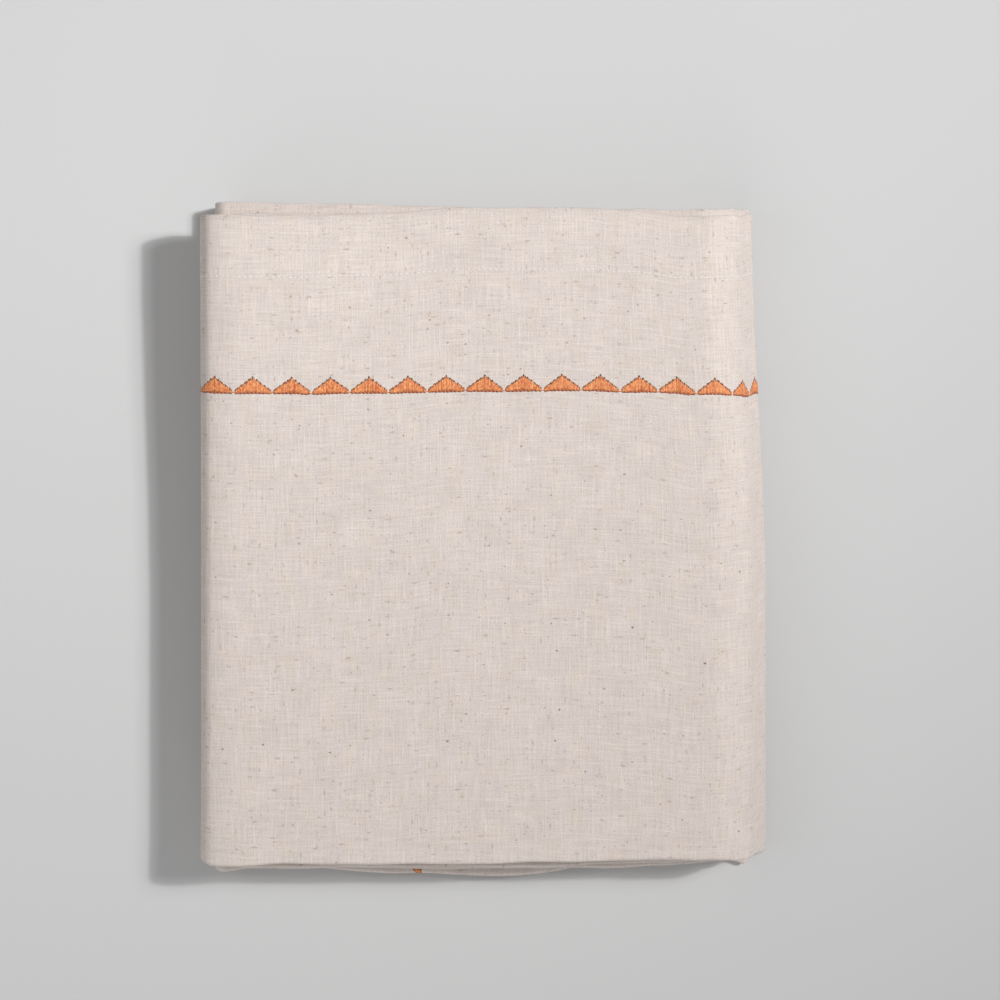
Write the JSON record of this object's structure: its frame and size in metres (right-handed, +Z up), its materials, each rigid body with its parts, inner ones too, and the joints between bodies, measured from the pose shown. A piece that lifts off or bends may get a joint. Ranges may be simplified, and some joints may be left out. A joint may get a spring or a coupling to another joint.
{
  "type": "folded tablecloth",
  "caption": "Hemmed linen tablecloth with a border of stitched orange triangles, folded to a flat rectangular bundle.",
  "frame": {"origin": "centre of the bundle's footprint, on the surface that it rests on", "axes": "+Z up, +Y from the side with the folds to the side with the hems, the bundle's longer side; +X towards the spine that holds the two halves together"},
  "size_m": [0.3124, 0.3732, 0.0519],
  "materials": {
    "linen": "natural linen and cotton plain weave with brown flecks and slubs, matt",
    "thread": "orange embroidery thread in satin stitch, soft sheen"
  },
  "bodies": {
    "root": {"tablecloth": "linen", "embroidered_border": "thread"}
  },
  "joints": []
}
